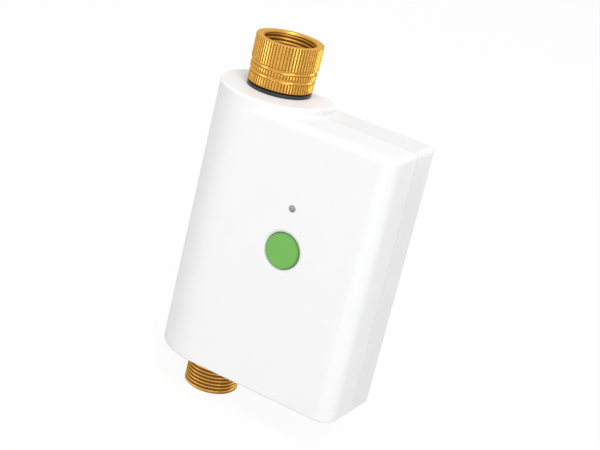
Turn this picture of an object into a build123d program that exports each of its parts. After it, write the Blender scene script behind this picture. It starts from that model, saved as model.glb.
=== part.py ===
from build123d import *
from math import acos, cos, floor, pi, radians, sin, sqrt, tan
import os

# Smart water timer: a flat battery casing with a motor driven ball valve in it.
# Millimetres. +Z runs up the water pipe, the button looks along -Y, the electronics lie
# towards +X. The origin is where the thread starts in the mouth of the swivel nut, on the
# pipe's axis.

# Running, sliding and seating clearances
fit_gap = 0.02
running_gap = 0.05
moving_gap = 0.3

# How far a cut runs past the face that it opens
overcut = 1.0

# Swivel nut: three knurled bands with two smooth grooves between them
nut_upper_band = 11.1
nut_upper_groove = 2.1
nut_narrow_band = 2.3
nut_lower_groove = 1.9
nut_lower_band = 4.8
nut_upper_r = 16.0
nut_narrow_r = 15.7
nut_lower_r = 15.5
nut_upper_groove_r = 15.0
nut_lower_groove_r = 14.9
nut_band_chamfer = 0.45
nut_rim_chamfer = 0.2
nut_floor = 4.5
knurl_count = 68
knurl_depth = 0.4

# Pipe threads, G 3/4
thread_pitch = 1.814
thread_depth = 1.1
thread_crest = 0.5
thread_root = 0.3
female_minor_r = 12.12
female_length = 10.5
female_relief = 1.2
female_mouth_chamfer = 0.8
male_major_r = 13.2
male_length = 18.3
male_end_chamfer = 1.2
male_relief_depth = 1.3
male_relief = 1.4

# Ball valve and the pipes that close it from above and below
ball_r = 8.0
ball_bore_r = 5.0
chamber_gap = 0.6
seat_lip = 1.2
seat_bore_r = 5.3
spigot_wall = 1.3
spigot_length = 11.5
pipe_step = 1.0
valve_wall = 2.0
valve_length = 51.0
valve_top_inset = 42.0
stem_r = 3.0
stem_collar_width = 0.8
stem_collar = 1.0
stem_collar_gap = 0.2
stem_boss_wall = 3.5
stem_boss_reach = 4.8
tang_width = 3.0
tang_depth = 2.0
o_ring_section_r = 0.39
o_ring_groove_depth = 0.8
o_ring_groove = 1.0
o_ring_offsets = (2.8, 4.8)

# Washer and filter screen in the nut
flange_gap = 0.22
flange_thickness = 2.3
washer_thickness = 3.0
washer_inner_r = 7.6
screen_r = 9.0
screen_thickness = 0.6
screen_hole_r = 0.55
screen_pitch = 1.6

# Rubber collar between nut and casing, and the bush round the outlet
collar_height = 1.7
collar_r = 15.3
sleeve_wall = 1.8
collar_round = 0.5

# Gear train: three equal stages on one inclined line
gear_module = 0.5
pressure_angle = radians(25)
addendum = 0.8
dedendum = 1.05
tooth_thinning = 0.05
flank_steps = 4
pinion_teeth = 11
wheel_teeth = 33
train_angle = 240.0
wheel_face = 2.0
output_face = 3.0
gear_side_gap = 0.5
stage_gap = 0.8
hub_r = 1.8
axle_r = 1.0

# Gear case
gearbox_wall = 1.5
gear_tip_gap = 0.45
pinion_pocket_gap = 1.25
gearbox_ear_r = 3.0
ear_overlap = 0.2
gearbox_screw_r = 1.2
gearbox_head_r = 2.1
gearbox_head_height = 1.4
short_screw_grip = 8.0
pad_screw_grip = 5.0

# Motor
motor_r = 6.0
motor_flat = 5.0
motor_length = 20.0
motor_boss_r = 2.0
motor_shaft_r = 0.75
sleeve_length = 8.0
sleeve_thickness = 1.2

# Battery cells, their pocket and its door
cell_r = 7.25
cell_length = 49.3
cell_nub_r = 2.7
cell_nub_length = 1.2
column_gap = 1.5
contact_room = 3.0
contact_width = 8.0
contact_thickness = 0.4
leaf_width = 4.0
pocket_side = 0.95
pocket_floor = 1.6
pocket_wall = 1.6
door_thickness = 2.0
door_ledge = 2.6
ledge_block = 3.0
ledge_frame = 1.5
door_ear_r = 3.2
door_seal_width = 1.2
door_seal_depth = 0.9
door_corner_r = 2.0
insert_r = 2.1
insert_length = 6.0
insert_floor = 2.0
door_screw_r = 1.45
door_head_r = 2.3
door_head_height = 1.1
door_screw_length = 7.0

# Casing walls and the room that they leave round what they hold
platform_height = 3.4
platform_round = 1.0
platform_corner_r = 10.6
front_wall = 2.4
rear_wall = 2.2
motor_front_room = 1.35
valve_back_room = 0.4
lead_room = 3.8
cell_side_room = 5.8
cell_top_room = 11.0
cell_bottom_room = 13.0
corner_r = 8.0
top_round = 3.0
bottom_round = 1.0
back_bottom_round = 4.0
back_edge_round = 0.8
seam_offset = 5.0
seam_groove_width = 0.4
seam_groove_depth = 0.7
gasket_width = 1.1
gasket_depth = 1.0
cradle_thickness = 2.0
cradle_arm = 4.9
cradle_offset = 14.0

# Casing screws
screw_left_room = 3.2
screw_middle_x = 27.0
screw_right_inset = 7.0
screw_top_inset = 5.2
screw_bottom_inset = 7.0
post_r = 3.4
case_screw_r = 1.45
case_head_r = 2.7
case_head_height = 2.0
case_head_sink = 2.5
case_screw_grip = 10.0
case_slot_width = 0.6
case_slot_length = 3.2

# Cross slots in the small screw heads
small_slot_width = 0.5
small_slot_length = 2.6

# Button and indicator light
button_x = 34.2
button_inset = 59.3
button_r = 8.6
button_slot = 0.3
button_flare = 1.2
button_flare_depth = 0.5
button_proud = 0.6
button_thickness = 2.1
button_round = 0.7
button_travel = 0.5
button_well = 2.3
button_boss_wall = 2.1
button_floor = 1.8
button_stem_r = 2.5
stem_tail = 0.45
clip_width = 1.7
clip_thickness = 0.5
button_seal_r = 0.5
switch_size = 6.0
switch_height = 3.5
switch_well = 1.8
plunger_r = 1.7
lens_inset = 38.4
lens_r = 1.75
lens_round = 0.3
lens_flange_r = 2.6
lens_flange = 0.8
lens_pipe_r = 1.3
led_size = 3.0
led_height = 1.1
led_dome_r = 1.2

# Circuit board, a plate parallel to the casing's front
board_thickness = 1.6
board_left_reach = 13.2
board_right_inset = 3.5
board_top_inset = 10.0
board_below_ball = 4.5
board_corner_r = 1.5
board_screw_inset = 4.0
board_screw_r = 1.2
board_head_r = 2.1
board_head_height = 1.4
board_post_r = 3.0
board_screw_floor = 0.8

# What is soldered on the board's back, placed from its left and upper edges
radio_right = 37.0
radio_down = 17.0
radio_width = 18.0
radio_height = 25.0
radio_board = 0.8
shield_down = 20.0
shield_width = 15.0
shield_height = 15.5
shield_depth = 3.0
antenna_down = 8.0
antenna_height = 5.0
antenna_thickness = 0.3
controller_right = 17.0
controller_down = 20.0
controller_size = 8.0
controller_depth = 1.2
driver_right = 17.0
driver_down = 36.0
driver_width = 5.0
driver_height = 6.0
driver_depth = 1.6
regulator_right = 29.0
regulator_down = 40.0
regulator_size = 4.5
capacitor_right = 24.0
capacitor_edge_gap = 6.8
capacitor_r = 3.2
capacitor_height = 5.4
plug_right = (35.0, 45.0)
plug_screw_gap = 2.6
plug_width = 7.6
plug_height = 4.6
plug_depth = 5.0
plug_wall = 1.0

# The thread's places in the nut and on the outlet
nut_mouth = female_mouth_chamfer
female_relief_r = female_minor_r + female_relief
male_relief_r = male_major_r - male_relief_depth

# The water way, from the ball outwards
spigot_r = ball_r + chamber_gap
pipe_r = spigot_r + pipe_step
valve_r = spigot_r + valve_wall
water_r = spigot_r - spigot_wall
seat_near = ball_r / 2
seat_far = ball_r + seat_lip
flange_r = female_minor_r - flange_gap
stem_collar_r = stem_r + stem_collar_width
stem_collar_x = spigot_r + stem_collar_gap
stem_boss_r = stem_r + stem_boss_wall
stem_square = 1.4 * stem_r
tang_inner_x = ball_r - tang_depth
o_ring_groove_r = stem_r - o_ring_groove_depth
o_ring_x = tuple(stem_collar_x + offset for offset in o_ring_offsets)
sleeve_r = pipe_r + sleeve_wall
sleeve_hole_r = sleeve_r + fit_gap

# The gear case, from the valve outwards along X
centre_distance = gear_module * (pinion_teeth + wheel_teeth) / 2
wheel_tip_r = gear_module * (wheel_teeth / 2 + addendum)
pinion_tip_r = gear_module * (pinion_teeth / 2 + addendum)
cavity_r = wheel_tip_r + gear_tip_gap
case_r = cavity_r + gearbox_wall
pinion_pocket_r = pinion_tip_r + pinion_pocket_gap
gearbox_ear_reach = case_r + gearbox_ear_r - ear_overlap
gearbox_x = valve_r + stem_boss_reach
cavity_x = gearbox_x + gearbox_wall
output_x = cavity_x + gear_side_gap
middle_wheel_x = output_x + output_face + stage_gap
first_wheel_x = middle_wheel_x + 2 * wheel_face
lid_x = first_wheel_x + wheel_face + stage_gap + gear_side_gap
motor_x = lid_x + gearbox_wall
train_y = cos(radians(train_angle))
train_z = sin(radians(train_angle))
motor_reach = -3 * centre_distance * train_y + motor_r + running_gap + sleeve_thickness

# The casing's outside, from what it holds
cell_pitch = cell_length + cell_nub_length
pocket_length = 2 * (cell_pitch + contact_room)
casing_height = cell_top_room + pocket_length + cell_bottom_room
end_r = motor_reach + motor_front_room + front_wall
casing_back = max(valve_r, case_r) + valve_back_room + rear_wall
pocket_left = motor_x + gearbox_head_height + lead_room + door_ledge + ledge_frame
column_x = (pocket_left + pocket_side + cell_r, pocket_left + pocket_side + 3 * cell_r + column_gap)
pocket_right = column_x[1] + cell_r + pocket_side
casing_right = pocket_right + cell_side_room
casing_front = -end_r
seam_y = -seam_offset
inner_front = casing_front + front_wall
inner_back = casing_back - rear_wall

# Heights, from the nut's mouth down to the outlet's end
upper_band_low = nut_mouth - nut_upper_band
upper_groove_low = upper_band_low - nut_upper_groove
narrow_band_low = upper_groove_low - nut_narrow_band
lower_groove_low = narrow_band_low - nut_lower_groove
nut_bottom = lower_groove_low - nut_lower_band
collar_top = nut_bottom - moving_gap
platform_top = collar_top - collar_height
casing_top = platform_top - platform_height
casing_bottom = casing_top - casing_height
flange_bottom = nut_bottom + nut_floor + moving_gap
flange_top = flange_bottom + flange_thickness
washer_top = flange_top + washer_thickness
valve_top = casing_top - valve_top_inset
valve_bottom = valve_top - valve_length
ball_z = (valve_top + valve_bottom) / 2
outlet_shoulder = casing_bottom - moving_gap
outlet_end = outlet_shoulder - male_relief - male_length
cradle_z = (casing_top - cradle_offset, casing_bottom + cradle_offset)
cradle_reach = valve_r + cradle_arm
button_z = casing_top - button_inset
lens_z = casing_top - lens_inset
case_screw_spots = [
    (x, z)
    for x in (-(sleeve_r + post_r + screw_left_room), screw_middle_x, casing_right - screw_right_inset)
    for z in (casing_top - screw_top_inset, casing_bottom + screw_bottom_inset)
]
stage = [(centre_distance * n * train_y, ball_z + centre_distance * n * train_z) for n in range(4)]

# Battery pocket limits
pocket_top = casing_top - cell_top_room
pocket_bottom = pocket_top - pocket_length
door_face_y = casing_back - door_thickness
cell_y = door_face_y - moving_gap - cell_r
pocket_front = cell_y - cell_r - moving_gap
pocket_middle_x = (pocket_left + pocket_right) / 2
door_screw_spots = [
    (pocket_middle_x, casing_top - screw_top_inset),
    (pocket_middle_x, casing_bottom + screw_bottom_inset),
]

# Depths behind the button, from its face to the board
button_boss_r = button_r + button_slot + button_boss_wall
clip_r = button_stem_r + clip_width
clip_groove_r = button_stem_r - clip_thickness
button_face = casing_front - button_proud
cap_back = button_face + button_thickness
well_floor = casing_front + button_well
well_back = well_floor + button_floor
clip_front = well_back + moving_gap / 2
clip_back = clip_front + clip_thickness
stem_end = clip_back + stem_tail
switch_face = stem_end + button_travel + moving_gap
board_y = switch_face + switch_height
board_back = board_y + board_thickness
board_screw_tip = inner_front + board_screw_floor
board_left = button_x - board_left_reach
board_right = casing_right - board_right_inset
board_top = casing_top - board_top_inset
board_bottom = ball_z - board_below_ball
capacitor_z = board_bottom + capacitor_edge_gap + capacitor_r
plug_z = board_bottom + board_screw_inset + board_head_r + plug_screw_gap + plug_height / 2
plug_down = board_top - plug_z
board_screw_spots = [
    (x, z)
    for x in (board_left + board_screw_inset, board_right - board_screw_inset)
    for z in (board_bottom + board_screw_inset, board_top - board_screw_inset)
]


def cylinder_z(radius, low, high, x=0.0, y=0.0):
    return Pos(x, y, low) * Cylinder(radius, high - low, align=(Align.CENTER, Align.CENTER, Align.MIN))


def cylinder_x(radius, low, high, y=0.0, z=0.0):
    upright = Cylinder(radius, high - low, align=(Align.CENTER, Align.CENTER, Align.MIN))
    return Pos(low, y, z) * Rot(0, 90, 0) * upright


def cylinder_y(radius, low, high, x=0.0, z=0.0):
    upright = Cylinder(radius, high - low, align=(Align.CENTER, Align.CENTER, Align.MIN))
    return Pos(x, low, z) * Rot(-90, 0, 0) * upright


def block(x0, x1, y0, y1, z0, z1):
    return Pos((x0 + x1) / 2, (y0 + y1) / 2, (z0 + z1) / 2) * Box(x1 - x0, y1 - y0, z1 - z0)


def turned(points):
    """A solid of revolution about the pipe's axis, from (radius, height) corners."""
    outline = Polyline(*[(r, 0, z) for r, z in points], close=True)
    return revolve(make_face(outline), axis=Axis.Z)


def round_slab(x0, x1, y0, y1, z0, z1, radius):
    """A slab whose corners are rounded as seen along Y."""
    slab = block(x0, x1, y0, y1, z0, z1)
    return fillet(slab.edges().filter_by(Axis.Y), radius)


def across(y0, y1, z0, z1):
    """A block that is wider than the casing."""
    return block(-2 * end_r, 2 * casing_right, y0, y1, z0, z1)


def casing_plan(inset):
    """The casing seen from above: round left end, flat front and back, rounded front corner."""
    r = end_r - inset
    back = casing_back - inset
    right = casing_right - inset
    corner = corner_r - inset
    left = -sqrt(r * r - back * back)
    bow = corner * (1 - sqrt(0.5))
    return make_face([
        ThreePointArc((left, back), (-r, 0), (0, -r)),
        Line((0, -r), (right - corner, -r)),
        ThreePointArc((right - corner, -r), (right - bow, bow - r), (right, corner - r)),
        Line((right, corner - r), (right, back)),
        Line((right, back), (left, back)),
    ])


def thread_wall(crest_r, root_r, start, length):
    """Corners of an annular thread's wall, from start downwards."""
    flank = (thread_pitch - thread_crest - thread_root) / 2
    turns = floor((length - thread_crest) / thread_pitch)
    points = []
    for turn in range(turns):
        top = start - turn * thread_pitch
        points += [
            (crest_r, top),
            (crest_r, top - thread_crest),
            (root_r, top - thread_crest - flank),
            (root_r, top - thread_crest - flank - thread_root),
        ]
    points += [(crest_r, start - turns * thread_pitch), (crest_r, start - length)]
    return points


def knurl_prism(radius, low, high):
    """A band with straight V-shaped knurls along the axis."""
    points = []
    for i in range(2 * knurl_count):
        r = radius if i % 2 == 0 else radius - knurl_depth
        a = pi * i / knurl_count
        points.append((r * cos(a), r * sin(a)))
    outline = make_face(Polyline(*points, close=True))
    return Pos(0, 0, low) * extrude(outline, amount=high - low)


def swivel_nut():
    c = nut_band_chamfer
    floor_top = nut_bottom + nut_floor
    neck_r = pipe_r + running_gap
    bore = thread_wall(female_minor_r, female_minor_r + thread_depth, 0, female_length)
    body = turned(
        [
            (neck_r, nut_bottom),
            (nut_lower_r - c, nut_bottom),
            (nut_lower_r, nut_bottom + c),
            (nut_lower_r, lower_groove_low - c),
            (nut_lower_groove_r, lower_groove_low),
            (nut_lower_groove_r, narrow_band_low),
            (nut_narrow_r, narrow_band_low + c),
            (nut_narrow_r, upper_groove_low - c),
            (nut_upper_groove_r, upper_groove_low),
            (nut_upper_groove_r, upper_band_low),
            (nut_upper_r, upper_band_low + c),
            (nut_upper_r, nut_mouth - nut_rim_chamfer),
            (nut_upper_r - nut_rim_chamfer, nut_mouth),
            (female_minor_r + female_mouth_chamfer, nut_mouth),
        ]
        + bore
        + [(female_relief_r, -female_length), (female_relief_r, floor_top), (neck_r, floor_top)]
    )
    stack = (
        knurl_prism(nut_upper_r, upper_band_low, nut_mouth)
        + cylinder_z(nut_upper_groove_r, upper_groove_low, upper_band_low)
        + knurl_prism(nut_narrow_r, narrow_band_low, upper_groove_low)
        + cylinder_z(nut_lower_groove_r, lower_groove_low, narrow_band_low)
        + knurl_prism(nut_lower_r, nut_bottom, lower_groove_low)
    )
    return body & stack


def inlet_washer():
    ring = cylinder_z(flange_r, flange_top, washer_top)
    ring -= cylinder_z(washer_inner_r, flange_top, washer_top)
    return ring - cylinder_z(screen_r + fit_gap, washer_top - screen_thickness, washer_top)


def filter_screen():
    disc = Circle(screen_r)
    reach = washer_inner_r - screen_hole_r
    rows = floor(reach / screen_pitch)
    holes = []
    for i in range(-rows, rows + 1):
        for j in range(-rows, rows + 1):
            x = i * screen_pitch
            y = j * screen_pitch
            if x * x + y * y < reach * reach:
                holes.append(Pos(x, y) * Circle(screen_hole_r))
    sheet = disc - holes
    return Pos(0, 0, washer_top - screen_thickness) * extrude(sheet, amount=screen_thickness)


def inlet_tailpiece():
    spigot_end = valve_top - spigot_length
    return turned([
        (water_r, flange_top),
        (flange_r, flange_top),
        (flange_r, flange_bottom),
        (pipe_r, flange_bottom),
        (pipe_r, valve_top),
        (spigot_r, valve_top),
        (spigot_r, spigot_end),
        (water_r, spigot_end),
    ])


def outlet_nipple():
    seat_end = ball_z - seat_far
    thread_start = outlet_shoulder - male_relief
    root_r = male_major_r - thread_depth
    wall = thread_wall(male_major_r, root_r, thread_start, male_length - male_end_chamfer)
    return turned(
        [
            (water_r, seat_end),
            (spigot_r, seat_end),
            (spigot_r, valve_bottom),
            (pipe_r, valve_bottom),
            (pipe_r, outlet_shoulder),
            (male_relief_r, outlet_shoulder),
            (male_relief_r, thread_start),
        ]
        + wall
        + [(male_major_r - male_end_chamfer, outlet_end), (water_r, outlet_end)]
    )


def collar_ring():
    hole_r = pipe_r + fit_gap
    ring = turned([
        (hole_r, collar_top),
        (collar_r, collar_top),
        (collar_r, platform_top),
        (sleeve_r, platform_top),
        (sleeve_r, casing_top - front_wall),
        (hole_r, casing_top - front_wall),
    ])
    rim = ring.edges().filter_by(GeomType.CIRCLE).filter_by(lambda e: e.radius > collar_r - fit_gap)
    return fillet(rim, collar_round)


def outlet_bush():
    high = casing_bottom + front_wall
    return cylinder_z(sleeve_r, casing_bottom, high) - cylinder_z(pipe_r + fit_gap, casing_bottom, high)


def casing_block():
    """The whole outside of the casing, shells not yet parted."""
    body = Pos(0, 0, casing_bottom) * extrude(casing_plan(0), amount=casing_height)
    top = body.faces().sort_by(Axis.Z)[-1]
    body = fillet(top.edges().filter_by(lambda e: e.center().Y < casing_back - overcut), top_round)
    bottom = body.faces().sort_by(Axis.Z)[0]
    body = fillet(bottom.edges().filter_by(lambda e: e.center().Y < casing_back - overcut), bottom_round)

    arc_y = casing_back - back_bottom_round
    arc_z = casing_bottom + back_bottom_round
    heel = across(arc_y, casing_back + overcut, casing_bottom - overcut, arc_z)
    body -= heel - cylinder_x(back_bottom_round, -2 * end_r, 2 * casing_right, arc_y, arc_z)

    r = back_edge_round
    edge_y = casing_back - r
    edge_z = casing_top - r
    edge_x = casing_right - r
    top_edge = across(edge_y, edge_y + 2 * r, edge_z, edge_z + 2 * r)
    body -= top_edge - cylinder_x(r, -2 * end_r, 2 * casing_right, edge_y, edge_z)
    low = casing_bottom - overcut
    high = casing_top + overcut
    side_edge = block(edge_x, edge_x + 2 * r, edge_y, edge_y + 2 * r, low, high)
    body -= side_edge - cylinder_z(r, low, high, edge_x, edge_y)

    drum_low = casing_top - 2 * top_round
    drum = cylinder_z(end_r, drum_low, platform_top)
    drum -= across(casing_back, 2 * end_r, drum_low, platform_top)
    back_edges = drum.edges().filter_by(Axis.Z).group_by(Axis.Y)[-1]
    drum = fillet(back_edges.sort_by(Axis.X)[-1], platform_corner_r)
    rim = drum.faces().sort_by(Axis.Z)[-1].edges().filter_by(GeomType.CIRCLE)
    drum = fillet(rim, platform_round)
    return body + drum


def cavity():
    """The room inside both shells."""
    floor_z = casing_bottom + front_wall
    room = extrude(casing_plan(front_wall), amount=casing_height - 2 * front_wall)
    behind = extrude(casing_plan(rear_wall), amount=casing_height - 2 * front_wall)
    rear_half = block(-end_r, casing_right, seam_y, casing_back, 0, casing_height)
    return Pos(0, 0, floor_z) * (room + (behind & rear_half))


def cradle(z, low_y, high_y):
    """A rib across the shell that holds the pipe."""
    half = cradle_thickness / 2
    rib = block(-cradle_reach, cradle_reach, low_y, high_y, z - half, z + half)
    return rib - cylinder_z(pipe_r + running_gap, z - cradle_thickness, z + cradle_thickness)


def seam_plate(inset, low_y, high_y):
    """A plate in the seam's plane whose edges lie inset inside the casing's outline."""
    low_x = inset - sqrt(end_r ** 2 - seam_y ** 2)
    high_x = casing_right - inset
    plate = block(low_x, high_x, low_y, high_y, casing_bottom + inset, casing_top - inset)
    right_edges = plate.edges().filter_by(Axis.Y).group_by(Axis.X)[-1]
    return fillet(right_edges.sort_by(Axis.Z)[-1], top_round - inset)


def seam_loop(outer_inset, width, low_y, high_y):
    """A band that follows the casing's outline in the seam's plane, width across."""
    return seam_plate(outer_inset, low_y, high_y) - seam_plate(outer_inset + width, low_y, high_y)


def pipe_clearance():
    """The holes for the collar's sleeve above and the bush below."""
    above = cylinder_z(sleeve_hole_r, casing_top - 2 * front_wall, platform_top + overcut)
    below = cylinder_z(sleeve_hole_r, casing_bottom - overcut, casing_bottom + 2 * front_wall)
    return above + below


def gasket_band():
    inset = (front_wall - gasket_width) / 2
    return seam_loop(inset, gasket_width, seam_y - gasket_depth, seam_y)


def seam_gasket():
    return gasket_band() - pipe_clearance()


def front_shell(outside, inside):
    shell = outside - inside
    shell -= across(seam_y, 2 * end_r, casing_bottom - overcut, casing_top)
    for x, z in case_screw_spots:
        shell += cylinder_y(post_r, casing_front, seam_y, x, z) & outside
    for z in cradle_z:
        shell += cradle(z, casing_front, seam_y) & outside
    for x, z in board_screw_spots:
        shell += cylinder_y(board_post_r, casing_front, board_y, x, z) & outside
    shell += cylinder_y(button_boss_r, casing_front, well_back, button_x, button_z)
    for x, z in case_screw_spots:
        tip = seam_y - case_screw_grip - overcut
        shell -= cylinder_y(case_screw_r + fit_gap, tip, seam_y, x, z)
    for x, z in board_screw_spots:
        shell -= cylinder_y(board_screw_r + fit_gap, board_screw_tip, board_y, x, z)
    mouth_y = casing_front - overcut
    shell -= cylinder_y(button_r + button_slot, mouth_y, well_floor, button_x, button_z)
    shell -= button_flare_cone()
    shell -= cylinder_y(button_stem_r + running_gap, mouth_y, well_back + overcut, button_x, button_z)
    shell -= button_seal_groove()
    shell -= cylinder_y(lens_r + fit_gap, mouth_y, inner_front + overcut, button_x, lens_z)
    shell -= gasket_band()
    return shell - pipe_clearance()


def round_pocket(edge, low_y, high_y):
    """A block that stands out past the battery pocket by edge all round."""
    low_z = pocket_bottom - edge
    high_z = pocket_top + edge
    return block(pocket_left - edge, pocket_right + edge, low_y, high_y, low_z, high_z)


def pocket_frame():
    """The walls of the battery pocket and the thick ledge that the door lies on."""
    back = inner_back + overcut
    walls = round_pocket(pocket_wall, pocket_front - pocket_floor, back)
    ledge = round_pocket(door_ledge + ledge_frame, door_face_y - ledge_block, back)
    return walls + ledge


def door_outline(gap, low_y, high_y):
    """The door's plate with an ear at each end, gap larger all round."""
    plate = round_pocket(door_ledge + gap, low_y, high_y)
    plate = fillet(plate.edges().filter_by(Axis.Y), door_corner_r)
    ear_r = door_ear_r + gap
    for x, z in door_screw_spots:
        plate += cylinder_y(ear_r, low_y, high_y, x, z)
        inward = pocket_top if z > pocket_top else pocket_bottom
        plate += block(x - ear_r, x + ear_r, low_y, high_y, min(z, inward), max(z, inward))
    return plate


def rear_cover(outside, inside):
    low_z = casing_bottom - overcut
    back = inner_back + overcut
    cover = (outside & across(seam_y, 2 * end_r, low_z, casing_top)) - inside
    cover -= seam_loop(-overcut, overcut + seam_groove_depth, seam_y, seam_y + seam_groove_width)
    cover += pocket_frame()
    for x, z in case_screw_spots:
        cover += cylinder_y(post_r, seam_y, back, x, z)
    for x, z in door_screw_spots:
        boss_r = door_ear_r + ledge_frame / 2
        cover += cylinder_y(boss_r, door_face_y - insert_length - insert_floor, back, x, z)
    for z in cradle_z:
        cover += cradle(z, seam_y, back)
    past = casing_back + overcut
    cover -= round_pocket(0, pocket_front, past)
    cover -= door_outline(moving_gap, door_face_y, past)
    cover -= door_seal_band()
    for x, z in case_screw_spots:
        cover -= cylinder_y(case_screw_r + fit_gap, seam_y - overcut, casing_back, x, z)
        cover -= cylinder_y(case_head_r + moving_gap / 2, casing_back - case_head_sink, past, x, z)
    for x, z in door_screw_spots:
        tip = door_face_y - door_screw_length - overcut
        cover -= cylinder_y(insert_r + fit_gap, door_face_y - insert_length, door_face_y, x, z)
        cover -= cylinder_y(door_screw_r + running_gap, tip, door_face_y, x, z)
    return cover - pipe_clearance()


def door_seal_band():
    """A rubber loop let into the ledge round the battery pocket."""
    inner_edge = (door_ledge - door_seal_width) / 2
    low_y = door_face_y - door_seal_depth
    outer = round_pocket(inner_edge + door_seal_width, low_y, door_face_y)
    return outer - round_pocket(inner_edge, low_y, door_face_y)


def battery_door():
    door = door_outline(0, door_face_y, casing_back)
    for x, z in door_screw_spots:
        door -= cylinder_y(door_head_r + running_gap, casing_back - door_head_height, casing_back, x, z)
        door -= cylinder_y(door_screw_r + running_gap, door_face_y, casing_back, x, z)
    return door


def headed_screw(shank_r, head_r, head_height, slot, seat_y, tip_y, x, z):
    """A screw that points along -Y; slot is the width and length of the cross in its head."""
    half_width = slot[0] / 2
    half_length = slot[1] / 2
    top = seat_y + head_height
    slot_floor = top - head_height / 2
    screw = cylinder_y(shank_r, tip_y, seat_y, x, z) + cylinder_y(head_r, seat_y, top, x, z)
    screw -= block(x - half_length, x + half_length, slot_floor, top, z - half_width, z + half_width)
    return screw - block(x - half_width, x + half_width, slot_floor, top, z - half_length, z + half_length)


def casing_screws():
    seat = casing_back - case_head_sink
    tip = seam_y - case_screw_grip
    slot = (case_slot_width, case_slot_length)
    return [
        headed_screw(case_screw_r, case_head_r, case_head_height, slot, seat, tip, x, z)
        for x, z in case_screw_spots
    ]


def door_screws():
    seat = casing_back - door_head_height
    tip = door_face_y - door_screw_length
    slot = (small_slot_width, small_slot_length)
    return [
        headed_screw(door_screw_r, door_head_r, door_head_height, slot, seat, tip, x, z)
        for x, z in door_screw_spots
    ]


def door_inserts():
    inserts = []
    low_y = door_face_y - insert_length
    for x, z in door_screw_spots:
        ring = cylinder_y(insert_r, low_y, door_face_y, x, z)
        inserts.append(ring - cylinder_y(door_screw_r + running_gap, low_y, door_face_y, x, z))
    return inserts


def battery_cell(column, row):
    """A cell with its nub up in the first column and down in the second."""
    x = column_x[column]
    low = pocket_top - contact_room - (row + 1) * cell_pitch
    high = low + cell_pitch
    if column == 0:
        shoulder = low + cell_length
        can = cylinder_z(cell_r, low, shoulder, x, cell_y)
        return can + cylinder_z(cell_nub_r, shoulder, high, x, cell_y)
    shoulder = low + cell_nub_length
    can = cylinder_z(cell_r, shoulder, high, x, cell_y)
    return can + cylinder_z(cell_nub_r, low, shoulder, x, cell_y)


def battery_contacts():
    """Bent leaf contacts: a back plate on the pocket's end wall and a leaf that reaches the cell."""
    contacts = []
    half = contact_width / 2
    t = contact_thickness
    for x in column_x:
        for wall, side in ((pocket_top, -1), (pocket_bottom, 1)):
            inward = wall + side * t
            tip = wall + side * contact_room
            tip_back = tip - side * t
            low_y = cell_y - half
            plate = block(x - half, x + half, low_y, cell_y + half, min(wall, inward), max(wall, inward))
            leaf = make_face(Polyline(
                (x - half, 0, inward),
                (x + half / 2, 0, tip),
                (x + half, 0, tip),
                (x + half, 0, tip_back),
                (x + half / 2 + t / 2, 0, tip_back),
                (x - half + 2 * t, 0, inward),
                close=True,
            ))
            strip = extrude(leaf, amount=leaf_width / 2, dir=(0, 1, 0), both=True)
            contacts.append(plate + Pos(0, cell_y, 0) * strip)
    return contacts


def valve_body():
    chamber_top = ball_z + seat_far
    barrel = turned([
        (spigot_r + fit_gap, valve_top),
        (valve_r, valve_top),
        (valve_r, valve_bottom),
        (spigot_r + fit_gap, valve_bottom),
        (spigot_r + fit_gap, chamber_top),
        (water_r, chamber_top),
        (water_r, valve_top - spigot_length),
        (spigot_r + fit_gap, valve_top - spigot_length),
    ])
    room = cylinder_z(spigot_r + fit_gap, valve_bottom, valve_top)
    barrel += cylinder_x(stem_boss_r, valve_r / 2, gearbox_x, 0, ball_z) - room
    for y, z in gearbox_ears()[:2]:
        barrel += cylinder_x(gearbox_ear_r, 0, gearbox_x, y, z) - room
    barrel -= cylinder_x(stem_r + running_gap, 0, gearbox_x, 0, ball_z)
    collar_end = stem_collar_x + stem_collar + running_gap
    barrel -= cylinder_x(stem_collar_r + running_gap, 0, collar_end, 0, ball_z)
    for y, z in gearbox_ears()[:2]:
        tip = gearbox_x - pad_screw_grip - overcut
        barrel -= cylinder_x(gearbox_screw_r + fit_gap, tip, gearbox_x, y, z)
    return barrel


def ball_seat(side):
    near = ball_z + side * seat_near
    far = ball_z + side * seat_far
    low, high = min(near, far), max(near, far)
    ring = cylinder_z(spigot_r, low, high) - cylinder_z(seat_bore_r, low, high)
    return ring - Pos(0, 0, ball_z) * Sphere(ball_r + running_gap)


def valve_ball():
    """Stands closed: its bore crosses the pipe along Y."""
    ball = Pos(0, 0, ball_z) * Sphere(ball_r)
    ball -= cylinder_y(ball_bore_r, -ball_r, ball_r, 0, ball_z)
    half = tang_width / 2 + fit_gap
    slot_x = tang_inner_x - fit_gap
    return ball - block(slot_x, ball_r + overcut, -half, half, ball_z - ball_r, ball_z + ball_r)


def valve_stem():
    stem = cylinder_x(stem_r, stem_collar_x + stem_collar, cavity_x, 0, ball_z)
    stem += cylinder_x(stem_collar_r, stem_collar_x, stem_collar_x + stem_collar, 0, ball_z)
    for x in o_ring_x:
        low = x - o_ring_groove / 2
        high = x + o_ring_groove / 2
        groove = cylinder_x(stem_r + overcut, low, high, 0, ball_z)
        stem -= groove - cylinder_x(o_ring_groove_r, low, high, 0, ball_z)
    half = tang_width / 2
    tang = block(tang_inner_x, stem_collar_x, -half, half, ball_z - stem_r, ball_z + stem_r)
    half = stem_square / 2
    square = block(cavity_x, output_x + output_face, -half, half, ball_z - half, ball_z + half)
    return stem + tang + square


def stem_seals():
    middle = o_ring_groove_r + fit_gap + o_ring_section_r
    return [Pos(x, 0, ball_z) * Rot(0, 90, 0) * Torus(middle, o_ring_section_r) for x in o_ring_x]


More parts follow.
